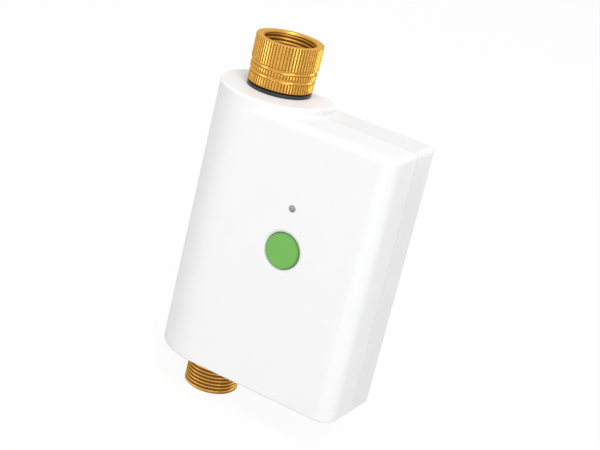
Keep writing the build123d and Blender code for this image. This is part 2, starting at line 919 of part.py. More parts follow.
def gear(teeth, low_x, high_x, y, z, direction):
    """A spur gear on an X axis; direction is the angle of one tooth's middle, from +Y towards +Z."""
    pitch_r = gear_module * teeth / 2
    base_r = pitch_r * cos(pressure_angle)
    tip_r = pitch_r + addendum * gear_module
    root_r = pitch_r - dedendum * gear_module
    involute = tan(pressure_angle) - pressure_angle
    half_pitch = pi / (2 * teeth) - tooth_thinning / (2 * pitch_r)

    def half_angle(r):
        a = acos(min(1.0, base_r / r))
        return half_pitch + involute - (tan(a) - a)

    start_r = max(base_r, root_r)
    radii = [start_r + (tip_r - start_r) * i / flank_steps for i in range(flank_steps + 1)]
    flank = [(r, half_angle(r)) for r in radii]
    if root_r < base_r:
        flank = [(root_r, half_angle(base_r))] + flank
    points = []
    for tooth in range(teeth):
        middle = radians(direction) + 2 * pi * tooth / teeth
        corners = [(r, middle - h) for r, h in flank] + [(r, middle + h) for r, h in reversed(flank)]
        points += [(r * cos(a), r * sin(a)) for r, a in corners]
    plane = Plane(origin=(low_x, y, z), x_dir=(0, 1, 0), z_dir=(1, 0, 0))
    return extrude(plane * make_face(Polyline(*points, close=True)), amount=high_x - low_x)


def gap_towards(angle, teeth):
    """The tooth direction that leaves a gap facing angle."""
    return angle + 180.0 / teeth


def output_gear():
    y, z = stage[0]
    wheel = gear(wheel_teeth, output_x, output_x + output_face, y, z, train_angle)
    half = stem_square / 2 + fit_gap
    return wheel - block(output_x, output_x + output_face, y - half, y + half, z - half, z + half)


def middle_gear():
    """The wheel driven by the first gear, and the pinion that turns the output gear."""
    y, z = stage[1]
    back = gap_towards(train_angle + 180, pinion_teeth)
    body = gear(wheel_teeth, middle_wheel_x, middle_wheel_x + wheel_face, y, z, train_angle)
    body += gear(pinion_teeth, output_x, middle_wheel_x, y, z, back)
    body += cylinder_x(hub_r, middle_wheel_x, lid_x - gear_side_gap, y, z)
    return body - cylinder_x(axle_r + running_gap, cavity_x, lid_x, y, z)


def first_gear():
    """The wheel driven by the motor, and the pinion that turns the middle gear."""
    y, z = stage[2]
    back = gap_towards(train_angle + 180, pinion_teeth)
    body = gear(wheel_teeth, first_wheel_x, first_wheel_x + wheel_face, y, z, train_angle)
    body += gear(pinion_teeth, middle_wheel_x - stage_gap / 4, first_wheel_x, y, z, back)
    body += cylinder_x(hub_r, cavity_x + gear_side_gap, lid_x - gear_side_gap, y, z)
    return body - cylinder_x(axle_r + running_gap, cavity_x, lid_x, y, z)


def motor_pinion():
    y, z = stage[3]
    back = gap_towards(train_angle + 180, pinion_teeth)
    tip_x = first_wheel_x + wheel_face + stage_gap / 2
    body = gear(pinion_teeth, first_wheel_x - stage_gap / 4, tip_x, y, z, back)
    return body - cylinder_x(motor_shaft_r, cavity_x, lid_x, y, z)


def motor_shaft():
    y, z = stage[3]
    return cylinder_x(motor_shaft_r, first_wheel_x - stage_gap, motor_x + motor_length / 2, y, z)


def motor_can():
    y, z = stage[3]
    can = cylinder_x(motor_r, motor_x, motor_x + motor_length, y, z)
    can &= block(motor_x, motor_x + motor_length, y - motor_flat, y + motor_flat, z - motor_r, z + motor_r)
    can += cylinder_x(motor_boss_r, lid_x, motor_x, y, z)
    return can - cylinder_x(motor_shaft_r + running_gap, lid_x, motor_x + motor_length / 2 + overcut, y, z)


def gear_axle(n):
    y, z = stage[n]
    return cylinder_x(axle_r, cavity_x - gearbox_wall / 2, lid_x + gearbox_wall / 2, y, z)


def train_slot(first, last, radius, low_x, high_x):
    """A round-ended bar along the gear train from one stage to another."""
    (y0, z0), (y1, z1) = stage[first], stage[last]
    span = centre_distance * (last - first)
    bar = Box(high_x - low_x, span, 2 * radius)
    bar = Pos((low_x + high_x) / 2, (y0 + y1) / 2, (z0 + z1) / 2) * Rot(train_angle, 0, 0) * bar
    return bar + cylinder_x(radius, low_x, high_x, y0, z0) + cylinder_x(radius, low_x, high_x, y1, z1)


def gearbox_ears():
    """Screw ears round the gear case; the first two meet pads on the valve body."""
    side_y = -train_z
    side_z = train_y
    reach = gearbox_ear_reach
    (y0, z0), (y1, z1), (y2, z2) = stage[0], stage[1], stage[2]
    return [
        (y0 - reach * train_y, z0 - reach * train_z),
        (y1 + reach * side_y, z1 + reach * side_z),
        (y0 - reach * side_y, z0 - reach * side_z),
        (y2 + reach * side_y, z2 + reach * side_z),
    ]


def gearbox_shape(low_x, high_x):
    shape = train_slot(0, 2, case_r, low_x, high_x)
    shape += train_slot(2, 3, pinion_pocket_r + gearbox_wall, low_x, high_x)
    nearest = (stage[0], stage[1], stage[0], stage[2])
    for (y, z), (cy, cz) in zip(gearbox_ears(), nearest):
        shape += cylinder_x(gearbox_ear_r, low_x, high_x, y, z)
        inward = gearbox_ear_r / gearbox_ear_reach
        web_y = y + (cy - y) * inward
        web_z = z + (cz - z) * inward
        shape += cylinder_x(gearbox_ear_r, low_x, high_x, web_y, web_z)
    return shape


def gearbox_cavity():
    wheels = train_slot(0, 2, cavity_r, cavity_x, lid_x)
    return wheels + train_slot(2, 3, pinion_pocket_r, cavity_x, lid_x)


def gearbox_case():
    case = gearbox_shape(gearbox_x, lid_x) - gearbox_cavity()
    case -= cylinder_x(stem_r + running_gap, gearbox_x, cavity_x, *stage[0])
    for n in (1, 2):
        case -= gear_axle(n)
    ears = gearbox_ears()
    for y, z in ears[:2]:
        case -= cylinder_x(gearbox_screw_r + fit_gap, gearbox_x, lid_x, y, z)
    for y, z in ears[2:]:
        case -= cylinder_x(gearbox_screw_r + fit_gap, lid_x - short_screw_grip - overcut, lid_x, y, z)
    return case


def gearbox_lid():
    y, z = stage[3]
    lid = gearbox_shape(lid_x, motor_x)
    lid += cylinder_x(motor_r + running_gap + sleeve_thickness, lid_x, motor_x + sleeve_length, y, z)
    lid -= cylinder_x(motor_r + running_gap, motor_x, motor_x + sleeve_length, y, z)
    lid -= cylinder_x(motor_boss_r + fit_gap, lid_x, motor_x, y, z)
    for n in (1, 2):
        lid -= gear_axle(n)
    for y, z in gearbox_ears():
        lid -= cylinder_x(gearbox_screw_r + fit_gap, lid_x, motor_x, y, z)
    return lid


def gearbox_screws():
    screws = []
    tips = [gearbox_x - pad_screw_grip] * 2 + [lid_x - short_screw_grip] * 2
    for (y, z), tip in zip(gearbox_ears(), tips):
        screw = cylinder_x(gearbox_screw_r, tip, motor_x, y, z)
        screws.append(screw + cylinder_x(gearbox_head_r, motor_x, motor_x + gearbox_head_height, y, z))
    return screws


def circuit_board():
    board = round_slab(
        board_left, board_right, board_y, board_back, board_bottom, board_top, board_corner_r
    )
    for x, z in board_screw_spots:
        board -= cylinder_y(board_screw_r + running_gap, board_y, board_back, x, z)
    return board


def board_screws():
    slot = (small_slot_width, small_slot_length)
    head = (board_head_r, board_head_height)
    return [
        headed_screw(board_screw_r, *head, slot, board_back, board_screw_tip, x, z)
        for x, z in board_screw_spots
    ]


def on_board(right, down, width, height, depth, lift=0.0):
    """A block on the board's back; right and down place its middle from the upper left corner."""
    x = board_left + right
    z = board_top - down
    low_y = board_back + lift
    return block(x - width / 2, x + width / 2, low_y, low_y + depth, z - height / 2, z + height / 2)


def radio_module():
    """A small board with a shield can and a flat antenna."""
    base = on_board(radio_right, radio_down, radio_width, radio_height, radio_board)
    can = on_board(radio_right, shield_down, shield_width, shield_height, shield_depth)
    antenna = on_board(
        radio_right, antenna_down, shield_width, antenna_height, antenna_thickness, radio_board
    )
    return base + can + antenna


def board_chips():
    return [
        on_board(controller_right, controller_down, controller_size, controller_size, controller_depth),
        on_board(driver_right, driver_down, driver_width, driver_height, driver_depth),
        on_board(regulator_right, regulator_down, regulator_size, regulator_size, driver_depth),
    ]


def capacitor():
    x = board_left + capacitor_right
    return cylinder_y(capacitor_r, board_back, board_back + capacitor_height, x, capacitor_z)


def board_connectors():
    """Open topped sockets for the motor's and the battery's plugs."""
    inner_width = plug_width - 2 * plug_wall
    inner_height = plug_height - 2 * plug_wall
    return [
        on_board(right, plug_down, plug_width, plug_height, plug_depth)
        - on_board(right, plug_down, inner_width, inner_height, plug_depth, plug_wall)
        for right in plug_right
    ]


def button_flare_cone():
    """The shallow cone that widens the button's hole towards the casing's front."""
    hole_r = button_r + button_slot
    align = (Align.CENTER, Align.CENTER, Align.MIN)
    cone = Cone(hole_r + button_flare, hole_r, button_flare_depth, align=align)
    return Pos(button_x, casing_front, button_z) * Rot(-90, 0, 0) * cone


def button_cap():
    cap = cylinder_y(button_r, button_face, cap_back, button_x, button_z)
    cap = fillet(cap.edges().sort_by(Axis.Y)[0], button_round)
    cap += cylinder_y(button_stem_r, cap_back, stem_end, button_x, button_z)
    groove = cylinder_y(button_stem_r + overcut, clip_front, clip_back, button_x, button_z)
    return cap - (groove - cylinder_y(clip_groove_r, clip_front, clip_back, button_x, button_z))


def button_clip():
    """A ring with a slot below, pushed onto the stem from above."""
    ring = cylinder_y(clip_r, clip_front, clip_back, button_x, button_z)
    ring -= cylinder_y(clip_groove_r + fit_gap, clip_front, clip_back, button_x, button_z)
    half = button_stem_r / 2
    low = button_z - clip_r
    return ring - block(button_x - half, button_x + half, clip_front, clip_back, low, button_z)


def button_seal_groove():
    middle = (well_floor + well_back) / 2
    half = button_seal_r + fit_gap
    outer = cylinder_y(button_stem_r + 2 * half, middle - half, middle + half, button_x, button_z)
    return outer - cylinder_y(button_stem_r, middle - half, middle + half, button_x, button_z)


def button_seal():
    middle = (well_floor + well_back) / 2
    ring_r = button_stem_r + fit_gap + button_seal_r
    return Pos(button_x, middle, button_z) * Rot(90, 0, 0) * Torus(ring_r, button_seal_r)


def switch_body():
    half = switch_size / 2
    well_y = switch_face + switch_well
    body = block(button_x - half, button_x + half, switch_face, board_y, button_z - half, button_z + half)
    return body - cylinder_y(plunger_r + running_gap, switch_face, well_y, button_x, button_z)


def switch_plunger():
    return cylinder_y(plunger_r, stem_end, switch_face + moving_gap, button_x, button_z)


def indicator_lens():
    lens = cylinder_y(lens_r, casing_front, inner_front, button_x, lens_z)
    lens += cylinder_y(lens_flange_r, inner_front, inner_front + lens_flange, button_x, lens_z)
    lens += cylinder_y(lens_pipe_r, inner_front, board_y - led_height - moving_gap, button_x, lens_z)
    return fillet(lens.edges().sort_by(Axis.Y)[0], lens_round)


def status_led():
    half = led_size / 2
    step_y = board_y - led_height / 2
    base = block(button_x - half, button_x + half, step_y, board_y, lens_z - half, lens_z + half)
    return base + cylinder_y(led_dome_r, board_y - led_height, step_y, button_x, lens_z)


def write(name, shape):
    """One file to each node; a list of pieces makes one node of separate solids."""
    solid = Compound([piece.solid() for piece in shape]) if isinstance(shape, list) else shape.solid()
    export_step(solid, "parts/" + name + ".step")


os.makedirs("parts", exist_ok=True)
outside = casing_block()
inside = cavity()

write("swivel_nut", swivel_nut())
write("inlet_washer", inlet_washer())
write("filter_screen", filter_screen())
write("inlet_tailpiece", inlet_tailpiece())
write("collar_ring", collar_ring())
write("front_shell", front_shell(outside, inside))
write("rear_cover", rear_cover(outside, inside))
write("casing_screws", casing_screws())
write("battery_door", battery_door())
write("door_seal", door_seal_band())
write("door_screws", door_screws())
write("door_inserts", door_inserts())
for column in range(2):
    for row in range(2):
        write("battery_" + str(2 * column + row + 1), battery_cell(column, row))
write("battery_contacts", battery_contacts())
write("valve_body", valve_body())
write("upper_seat", ball_seat(1))
write("lower_seat", ball_seat(-1))
write("valve_ball", valve_ball())
write("valve_stem", valve_stem())
write("stem_seals", stem_seals())
write("outlet_nipple", outlet_nipple())
write("outlet_bush", outlet_bush())
write("output_gear", output_gear())
write("middle_gear", middle_gear())
write("first_gear", first_gear())
write("middle_axle", gear_axle(1))
write("first_axle", gear_axle(2))
write("gearbox_case", gearbox_case())
write("gearbox_lid", gearbox_lid())
write("gearbox_screws", gearbox_screws())
write("motor_can", motor_can())
write("motor_shaft", motor_shaft())
write("motor_pinion", motor_pinion())
write("circuit_board", circuit_board())
write("board_screws", board_screws())
write("radio_module", radio_module())
write("board_chips", board_chips())
write("capacitor", capacitor())
write("board_connectors", board_connectors())
write("button_cap", button_cap())
write("button_clip", button_clip())
write("button_seal", button_seal())
write("switch_body", switch_body())
write("switch_plunger", switch_plunger())
write("indicator_lens", indicator_lens())
write("status_led", status_led())
gasket = seam_gasket()
export_step(Compound(gasket.solids()), "parts/seam_gasket.step")
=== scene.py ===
"""Smart water timer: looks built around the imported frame. Metres, +Z up the water pipe."""
import bpy
import numpy as np
from mathutils import Matrix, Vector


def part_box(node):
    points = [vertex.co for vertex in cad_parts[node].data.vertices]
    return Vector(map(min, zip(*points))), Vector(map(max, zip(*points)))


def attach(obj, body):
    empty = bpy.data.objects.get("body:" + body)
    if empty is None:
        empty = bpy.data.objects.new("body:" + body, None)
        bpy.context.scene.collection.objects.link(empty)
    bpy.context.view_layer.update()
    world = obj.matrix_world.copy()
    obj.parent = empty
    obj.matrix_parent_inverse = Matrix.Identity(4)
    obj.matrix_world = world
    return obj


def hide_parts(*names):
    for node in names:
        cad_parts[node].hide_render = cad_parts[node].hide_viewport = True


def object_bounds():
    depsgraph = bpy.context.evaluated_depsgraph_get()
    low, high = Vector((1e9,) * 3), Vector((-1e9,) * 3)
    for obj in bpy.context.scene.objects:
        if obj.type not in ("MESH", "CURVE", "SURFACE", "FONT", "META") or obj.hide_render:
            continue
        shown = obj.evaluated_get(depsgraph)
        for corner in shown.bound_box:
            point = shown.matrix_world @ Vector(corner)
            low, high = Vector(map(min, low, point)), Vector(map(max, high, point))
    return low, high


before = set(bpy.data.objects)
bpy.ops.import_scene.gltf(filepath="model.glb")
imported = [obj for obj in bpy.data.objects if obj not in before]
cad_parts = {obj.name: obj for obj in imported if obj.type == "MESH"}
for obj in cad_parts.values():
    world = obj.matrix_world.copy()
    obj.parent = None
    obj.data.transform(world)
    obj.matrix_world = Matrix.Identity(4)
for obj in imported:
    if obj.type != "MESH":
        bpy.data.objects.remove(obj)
cad_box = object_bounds()
mm = 0.001


def compass(azimuth, elevation):
    """Unit vector at an azimuth from the casing's front, towards the battery end, and an elevation."""
    level = np.cos(elevation)
    return np.array([np.sin(azimuth) * level, -np.cos(azimuth) * level, np.sin(elevation)])


def stand(thing, place, right, up, back):
    """Puts a camera or lamp at a place, with its own three axes along the given directions."""
    turn = np.eye(4)
    turn[:3, :3] = np.column_stack([right, up, back])
    turn[:3, 3] = place
    thing.matrix_world = Matrix(turn.tolist())
    bpy.context.collection.objects.link(thing)


def photograph_camera():
    """The photograph's view. Its turn, tilt, roll and focal length, and its place from the pipe's axis
    at the casing's top, were fitted to the outlines and edges that the photograph shows."""
    photo_width = 600
    focal_pixels = 1618.7123
    sensor_width = 36
    roll = 0.2411747
    casing_top = np.array([0, 0, -26.8])
    back = compass(azimuth=0.4390208, elevation=0.3488027)
    level = np.cross([0, 0, 1], back)
    level = level / np.linalg.norm(level)
    right = np.cos(roll) * level + np.sin(roll) * np.cross(back, level)
    up = np.cross(back, right)
    place = casing_top + 10.3894 * right - 59.9995 * up + 750.90208 * back
    camera = bpy.data.objects.new("camera", bpy.data.cameras.new("camera"))
    camera.data.sensor_width = sensor_width
    camera.data.lens = sensor_width * focal_pixels / photo_width
    camera.data.clip_start = 0.01
    stand(camera, place * mm, right, up, back)
    bpy.context.scene.camera = camera


photograph_camera()


def find(sockets, key):
    """A socket by its name, its identifier or its number."""
    if isinstance(key, int):
        return sockets[key]
    return next(socket for socket in sockets if key in (socket.identifier, socket.name))


class Value:
    """One socket, on which + - * add Math nodes."""

    def __init__(self, tree, socket):
        self.tree, self.socket = tree, socket

    def __add__(self, other):
        return self.tree.maths("ADD", self, other)

    def __radd__(self, other):
        return self.tree.maths("ADD", other, self)

    def __sub__(self, other):
        return self.tree.maths("SUBTRACT", self, other)

    def __mul__(self, other):
        return self.tree.maths("MULTIPLY", self, other)

    def __rmul__(self, other):
        return self.tree.maths("MULTIPLY", other, self)


class Tree:
    """The nodes of a material or of the world. Every node comes from node()."""

    def __init__(self, owner):
        owner.use_nodes = True
        self.nodes, self.links = owner.node_tree.nodes, owner.node_tree.links

    def feed(self, node, sockets):
        """Links each value to its socket, or sets the socket to a constant."""
        for key, value in sockets.items():
            socket = find(node.inputs, key)
            if isinstance(value, Value):
                self.links.new(value.socket, socket)
            else:
                socket.default_value = value

    def node(self, kind, settings, sockets, output=0):
        """Adds a node with its settings and its sockets' values or links, and gives one output."""
        made = self.nodes.new("ShaderNode" + kind)
        for key, value in settings.items():
            setattr(made, key, value)
        self.feed(made, sockets)
        return Value(self, find(made.outputs, output))

    def maths(self, operation, first, second):
        return self.node("Math", {"operation": operation}, {0: first, 1: second})

    def blend(self, factor, first, second):
        """Mixes two colours."""
        sockets = {"Factor_Float": factor, "A_Color": first, "B_Color": second}
        return self.node("Mix", {"data_type": "RGBA"}, sockets, "Result_Color")

    def share(self, value, low, high):
        """0 where a value is at low or beyond it, 1 at high or beyond it."""
        return self.node("MapRange", {}, {"Value": value, "From Min": low, "From Max": high})

    def ray(self, output):
        return self.node("LightPath", {}, {}, output)

    def looked_at(self):
        """1 for what the camera sees, also by reflection or through something clear, else 0."""
        return self.ray("Is Camera Ray") + self.ray("Is Glossy Ray") + self.ray("Is Transmission Ray")


class Finish(Tree):
    """A material on one Principled shader."""

    def __init__(self, name, **constants):
        self.material = bpy.data.materials.new(name)
        super().__init__(self.material)
        self.shader = self.nodes["Principled BSDF"]
        self.set(**constants)
        self.place = self.node("TexCoord", {}, {}, "Object")

    def set(self, **sockets):
        self.feed(self.shader, {key.replace("_", " "): value for key, value in sockets.items()})

    def axis(self, letter):
        """The distance in metres along one axis of the frame."""
        return self.node("SeparateXYZ", {}, {0: self.place}, letter)

    def noise(self, size, detail=2.0, roughness=0.5, stretch=(1, 1, 1)):
        """Soft noise around 0.5 whose blotches are about size metres across, longer along stretch."""
        spread = self.node("Mapping", {}, {"Vector": self.place, "Scale": [1 / (size * s) for s in stretch]})
        sockets = {"Vector": spread, "Scale": 1.0, "Detail": detail, "Roughness": roughness}
        return self.node("TexNoise", {}, sockets)

    def bump(self, height, depth):
        """Raises the surface by up to depth metres where height is 1."""
        self.set(Normal=self.node("Bump", {}, {"Height": height, "Distance": depth, "Strength": 1.0}))


def colour(red, green, blue):
    """A colour given as it shows on screen, 0 to 255, as linear light."""
    shown = np.array([red, green, blue]) / 255
    return (*np.where(shown <= 0.04045, shown / 12.92, ((shown + 0.055) / 1.055) ** 2.4).tolist(), 1.0)


def moulded(name, tone, dark, rough, grain, depth, **constants):
    """Moulded plastic or rubber: faint cloudiness in its colour, a fine eroded grain from the tool."""
    finish = Finish(name, **constants)
    cloud = finish.noise(0.012, 3.0)
    fine = finish.noise(grain)
    shade = finish.blend(cloud, tone, dark)
    matt = rough + 0.06 * (cloud - 0.5) + 0.08 * (fine - 0.5)
    finish.set(Base_Color=shade, Roughness=matt)
    finish.bump(fine, depth)
    return finish.material


def button_green(name, tone, dark, rim, shade_start_r, shade_full_r):
    """The button's plastic, with painted shade: its colour deepens towards the rounded rim, by the distance
    from its axis, for the shadow in the gap round the button.
    """
    finish = Finish(name)
    low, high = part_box("button_cap")
    middle = (low + high) / 2
    x, z = finish.axis("X") - middle.x, finish.axis("Z") - middle.z
    away = finish.maths("SQRT", x * x + z * z, 0.0)
    fine = finish.noise(0.0003)
    face = finish.blend(finish.noise(0.012, 3.0), tone, dark)
    # painted shade: towards the edge the green turns to the rim colour, the shadow of the gap round the
    # button
    shade = finish.blend(finish.share(away, shade_start_r, shade_full_r), face, rim)
    finish.set(Base_Color=shade, Roughness=0.45 + 0.08 * (fine - 0.5))
    finish.bump(fine, 2e-6)
    return finish.material


def lens_grey_painted_shade(name, upper, lower):
    """The light guide's face, with painted shade: its grey deepens from its upper edge to its lower one, as
    on a face lit from above.
    """
    finish = Finish(name)
    low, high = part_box("indicator_lens")
    fine = finish.noise(0.0006)
    # painted shade: lit grey at the top, shaded grey at the bottom
    shade = finish.blend(finish.share(finish.axis("Z"), high.z, low.z), upper, lower)
    finish.set(Base_Color=shade, Roughness=0.25 + 0.08 * (fine - 0.5))
    finish.bump(fine, 1e-6)
    return finish.material


def worked_metal(name, bright, dull, rough, marks, depth, hollow_shade=None, **constants):
    """Cut or drawn metal: blotches of a duller tone, and fine marks round the pipe's axis. Where a
    piece has the attribute hollow_shade, its knurl and thread roots take painted shade, a darker tone
    for the shade in the recesses, and a rougher finish."""
    finish = Finish(name, Metallic=1.0, **constants)
    stain = finish.noise(0.006, 4.0, 0.6)
    line = finish.noise(marks, stretch=(60, 60, 1))
    speck = finish.noise(0.0004)
    shade = finish.blend(stain, bright, dull)
    matt = rough + 0.10 * (stain - 0.5) + 0.08 * (line - 0.5)
    if hollow_shade:
        root = finish.node("Attribute", {"attribute_name": "hollow_shade"}, {}, "Fac")
        # painted shade: the roots take the darker colour, for the shade in the recesses; they are also
        # rougher
        shade = finish.blend(root, shade, hollow_shade)
        matt = matt + 0.35 * root
    finish.set(Base_Color=shade, Roughness=matt)
    finish.bump(line + 0.5 * speck, depth)
    return finish.material


# The material of each slot: two tones, roughness, size of its grain or marks, depth of its bump
finishes = {
    "white_casing": moulded(
        "satin_white", colour(242, 242, 242), colour(239, 239, 240), 0.45, 0.0004, 2e-6,
        Specular_IOR_Level=0.25,
    ),
    "gold_brass": worked_metal(
        "gold_brass", colour(221, 170, 84), colour(209, 157, 72), 0.24, 0.00025, 1e-7,
        # hollow_shade colour: painted shade of the knurl roots and the bore
        hollow_shade=colour(146, 98, 32), Specular_Tint=colour(252, 234, 190),
    ),
    "raw_brass": worked_metal(
        "bronzed_brass", colour(230, 185, 105), colour(212, 166, 87), 0.28, 0.00025, 2e-7,
        # hollow_shade colour: painted shade of the thread roots and the end face
        hollow_shade=colour(160, 112, 36), Specular_Tint=colour(110, 75, 38),
    ),
    "black_rubber": moulded("charcoal_rubber", colour(36, 38, 41), colour(29, 31, 34), 0.50, 0.0003, 3e-6),
    "green_cap": button_green(
        # rim is painted shade of the gap round the button
        "leaf_green", colour(111, 179, 80), colour(107, 174, 77), rim=colour(84, 134, 62),
        shade_start_r=0.0076, shade_full_r=0.0087,
    ),
    # upper and lower are the lens' lit and shaded greys: painted shade
    "smoked_lens": lens_grey_painted_shade("smoked_lens", upper=colour(178, 179, 180), lower=colour(112, 113, 115)),
    "steel": worked_metal("bright_steel", colour(196, 198, 200), colour(170, 172, 175), 0.30, 0.0002, 1e-6),
    "stainless_mesh": worked_metal(
        "sieve_steel", colour(178, 180, 182), colour(150, 152, 155), 0.36, 0.0002, 1e-6
    ),
    "white_seat": moulded("seat_white", colour(236, 236, 232), colour(228, 228, 224), 0.35, 0.0004, 1e-6),
    "polished_ball": worked_metal(
        "polished_ball", colour(214, 214, 212), colour(200, 201, 200), 0.12, 0.0002, 5e-7
    ),
    "nylon_gear": moulded("nylon", colour(228, 224, 212), colour(218, 213, 200), 0.48, 0.0003, 2e-6),
    "grey_gearbox": moulded("gearbox_grey", colour(120, 124, 128), colour(110, 114, 118), 0.50, 0.0004, 3e-6),
    "motor_steel": worked_metal(
        "motor_steel", colour(186, 188, 190), colour(160, 163, 166), 0.28, 0.0002, 1e-6
    ),
    "green_board": moulded("board_green", colour(38, 104, 62), colour(30, 90, 52), 0.38, 0.0006, 1e-6),
    "chip_black": moulded("chip_black", colour(40, 41, 43), colour(34, 35, 37), 0.55, 0.0002, 2e-6),
    "tin_can": worked_metal("tin_plate", colour(200, 202, 200), colour(180, 182, 180), 0.32, 0.0002, 1e-6),
    "capacitor_sleeve": moulded(
        "capacitor_sleeve", colour(42, 52, 88), colour(36, 45, 78), 0.40, 0.0005, 1e-6
    ),
    "connector_white": moulded(
        "socket_cream", colour(232, 226, 206), colour(224, 217, 196), 0.50, 0.0003, 2e-6
    ),
    "led_body": moulded("lamp_cream", colour(238, 236, 214), colour(232, 228, 200), 0.35, 0.0003, 1e-6),
    "cell_jacket": moulded("cell_jacket", colour(96, 138, 170), colour(88, 128, 160), 0.35, 0.0005, 1e-6),
    "contact_metal": worked_metal(
        "nickel_leaf", colour(206, 202, 190), colour(186, 181, 168), 0.30, 0.0002, 1e-6
    ),
}
rear_white = moulded(
    "rear_white", colour(237, 237, 237), colour(234, 234, 235), 0.45, 0.0004, 2e-6,
    Specular_IOR_Level=0.25,
)
pale_silicone = moulded("pale_silicone", colour(222, 223, 224), colour(216, 217, 218), 0.5, 0.0003, 2e-6)

# Nodes whose finish isn't that of their slot
own_finish = {"rear_cover": rear_white, "battery_door": rear_white, "seam_gasket": pale_silicone}

for name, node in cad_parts.items():
    slot = node.material_slots[0]
    slot.material = own_finish.get(name, finishes[slot.material.name])


def skin(name, grid, hollow_shade, slot, body, stands_for):
    """A closed mesh over a grid of points (rows along the profile, columns round the axis, 3), both
    of which join up with their start. A vertex's normal is the sum of its faces' area vectors, so
    that flats stay flat beside small rounds. hollow_shade is 1 where a point lies in a root; it gives
    how much painted shade, with a rougher finish, a point takes."""
    rows, columns = grid.shape[:2]
    number = np.arange(rows * columns).reshape(rows, columns)
    along, across = np.roll(number, -1, 0), np.roll(number, -1, 1)
    faces = np.stack([number, across, np.roll(along, -1, 1), along], -1).reshape(-1, 4)
    points = grid.reshape(-1, 3) * mm
    area = np.cross(points[faces[:, 2]] - points[faces[:, 0]], points[faces[:, 3]] - points[faces[:, 1]])
    area = area.reshape(rows, columns, 3)
    normals = area + np.roll(area, 1, 0)
    normals = (normals + np.roll(normals, 1, 1)).reshape(-1, 3)
    mesh = bpy.data.meshes.new(name)
    mesh.from_pydata(points.tolist(), [], faces.tolist())
    mesh.polygons.foreach_set("use_smooth", np.ones(len(faces), bool))
    mesh.normals_split_custom_set_from_vertices((normals / np.linalg.norm(normals, axis=1)[:, None]).tolist())
    roots = mesh.attributes.new("hollow_shade", "FLOAT", "POINT")
    roots.data.foreach_set("value", hollow_shade.astype(np.float32).ravel())
    mesh.materials.append(finishes[slot])
    piece = bpy.data.objects.new(name, mesh)
    bpy.context.collection.objects.link(piece)
    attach(piece, body)
    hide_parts(stands_for)


def eased(corners, ease, steps=3):
    """An open profile whose inner corners are rounded: each becomes the curve from the point at
    distance ease before it to the one after it, pulled towards the corner. Its two ends stay."""
    most = 0.45  # of the way to the next point
    points = np.array(corners, float)
    corner = points[1:-1]
    before, after = points[:-2] - corner, points[2:] - corner
    before = corner + before * np.minimum(ease / np.linalg.norm(before, axis=1), most)[:, None]
    after = corner + after * np.minimum(ease / np.linalg.norm(after, axis=1), most)[:, None]
    t = np.linspace(0, 1, steps)[:, None, None]
    curve = (1 - t) ** 2 * before + 2 * t * (1 - t) * corner + t ** 2 * after
    return np.concatenate([points[:1], curve.transpose(1, 0, 2).reshape(-1, 2), points[-1:]])


def groove(start_r, start_z, end_r, end_z, depth, steps=15):
    """A groove with a flat floor and round corners between two edges: along a half turn t, the height
    goes as its cosine, and the radius runs straight from edge to edge, less depth times the root of
    its sine."""
    t = np.linspace(0, np.pi, steps)
    share = (1 - np.cos(t)) / 2
    radius = start_r + (end_r - start_r) * share - depth * np.sqrt(np.sin(t))
    return np.column_stack([radius, start_z + (end_z - start_z) * share])


def straight(radius, start_z, end_z, rows):
    """A profile's run along the axis, in rows that a thread can be cut into."""
    return np.column_stack([np.full(rows, radius), np.linspace(start_z, end_z, rows)])


def turned(radius, height, angle):
    """Points of a surface round the pipe's axis from its radius and height, row by row."""
    radius, height = np.broadcast_arrays(radius, height)
    return np.stack([radius * np.cos(angle), radius * np.sin(angle), height], -1)


thread_pitch = 1.814
thread_fade = 0.8


def thread(height, angle, low, high):
    """0 on a crest and 1 in a root of a rounded one-start thread, fading out at both ends: a wave of
    the height over the pitch less the turn, with broad crests."""
    wave = 0.5 - 0.5 * np.cos(2 * np.pi * height / thread_pitch - angle)
    fade = np.clip((height - low) / thread_fade, 0, 1) * np.clip((high - height) / thread_fade, 0, 1)
    return wave ** 1.5 * fade


